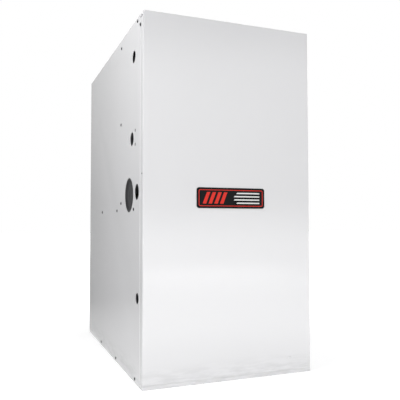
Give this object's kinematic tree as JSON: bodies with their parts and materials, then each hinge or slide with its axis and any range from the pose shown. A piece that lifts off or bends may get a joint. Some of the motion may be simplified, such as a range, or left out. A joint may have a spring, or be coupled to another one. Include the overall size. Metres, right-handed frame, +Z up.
{
  "type": "forced air gas furnace",
  "caption": "Upright gas furnace cabinet with a pull-off front door over its burners, tubular heat exchanger, draft inducer, blower and controls; ducts join at the top and base.",
  "frame": {"origin": "on the floor, under the middle of the cabinet's bounding box", "axes": "+Z up, -Y towards the front door, +X to the right when seen from the front"},
  "size_m": [0.4444, 0.7112, 0.8953],
  "materials": {
    "cabinet_paint": "smooth semi-gloss light grey-white paint",
    "galvanised_steel": "galvanised sheet with a faint spangle",
    "aluminised_steel": "dull aluminised steel",
    "insulation_foil": "creased foil facing",
    "badge_face": "gloss black plate with a red and white geometric pattern",
    "plain_steel": "bright steel",
    "black_paint": "satin black paint",
    "cast_aluminium": "cast aluminium",
    "black_plastic": "moulded black plastic",
    "ceramic": "unglazed white ceramic",
    "circuit_board": "green circuit board",
    "red_plastic": "moulded red plastic",
    "hose_rubber": "black rubber"
  },
  "bodies": {
    "cabinet": {"cabinet_wrapper": "cabinet_paint", "door_sill": "cabinet_paint", "top_panel": "galvanised_steel", "base_frame": "galvanised_steel", "blower_deck": "galvanised_steel", "cross_rail": "galvanised_steel", "vestibule_panel": "galvanised_steel", "foil_liner": "insulation_foil", "air_hole_plug": "black_plastic", "exchanger_tube_1": "aluminised_steel", "exchanger_tube_2": "aluminised_steel", "exchanger_tube_3": "aluminised_steel", "exchanger_tube_4": "aluminised_steel", "collector_box": "aluminised_steel", "limit_switch": "plain_steel", "burner_1": "aluminised_steel", "burner_2": "aluminised_steel", "burner_3": "aluminised_steel", "burner_4": "aluminised_steel", "burner_rack": "galvanised_steel", "gas_manifold": "black_paint", "supply_pipe": "black_paint", "gas_valve": "cast_aluminium", "igniter": "ceramic", "flame_sensor": "ceramic", "rollout_switch_left": "plain_steel", "rollout_switch_right": "plain_steel", "inducer_housing": "galvanised_steel", "inducer_motor": "black_paint", "flue_collar": "galvanised_steel", "pressure_switch": "black_plastic", "pressure_hose": "hose_rubber", "blower_housing": "galvanised_steel", "blower_motor": "black_paint", "motor_band": "galvanised_steel", "blower_rail_left": "galvanised_steel", "blower_rail_right": "galvanised_steel", "run_capacitor": "cast_aluminium", "capacitor_strap": "galvanised_steel", "control_panel": "galvanised_steel", "control_board": "circuit_board", "transformer": "black_paint", "door_switch_bracket": "galvanised_steel", "door_switch": "black_plastic", "junction_box": "galvanised_steel", "junction_box_cover": "galvanised_steel"},
    "front_door": {"front_door": "cabinet_paint", "door_insulation": "insulation_foil", "door_switch_tab": "galvanised_steel", "badge_plate": "badge_face"},
    "door_switch_plunger": {"door_switch_plunger": "black_plastic"},
    "blower_wheel": {"blower_wheel": "galvanised_steel", "blower_shaft": "plain_steel"},
    "inducer_wheel": {"inducer_wheel": "aluminised_steel", "inducer_shaft": "plain_steel", "inducer_cooling_fan": "cast_aluminium"},
    "gas_valve_knob": {"gas_valve_knob": "black_plastic"},
    "reset_button_left": {"reset_button_left": "red_plastic"},
    "reset_button_right": {"reset_button_right": "red_plastic"}
  },
  "joints": [
    {"name": "front_door_slide", "type": "slide", "parent": "cabinet", "child": "front_door", "axis": [0, -1, 0], "range_m": [0, 0.4]},
    {"name": "door_switch_plunger_slide", "type": "slide", "parent": "cabinet", "child": "door_switch_plunger", "axis": [0, -1, 0], "range_m": [0, 0.003]},
    {"name": "blower_wheel_spin", "type": "hinge", "parent": "cabinet", "child": "blower_wheel", "pos_m": [0, 0.0249, 0.212], "axis": [1, 0, 0], "continuous": true},
    {"name": "inducer_wheel_spin", "type": "hinge", "parent": "cabinet", "child": "inducer_wheel", "pos_m": [-0.064, -0.22, 0.736], "axis": [0, -1, 0], "continuous": true},
    {"name": "gas_valve_knob_turn", "type": "hinge", "parent": "cabinet", "child": "gas_valve_knob", "pos_m": [-0.12625, -0.2981, 0.4823], "axis": [0, 0, 1], "range_deg": [0, 90]},
    {"name": "reset_button_left_press", "type": "slide", "parent": "cabinet", "child": "reset_button_left", "axis": [0, 1, 0], "range_m": [0, 0.002], "stiffness_N_per_m": 300},
    {"name": "reset_button_right_press", "type": "slide", "parent": "cabinet", "child": "reset_button_right", "axis": [0, 1, 0], "range_m": [0, 0.002], "stiffness_N_per_m": 300}
  ],
  "couplings": [
    {"joint": "door_switch_plunger_slide", "follows": "front_door_slide", "ratio": 0.0075}
  ]
}
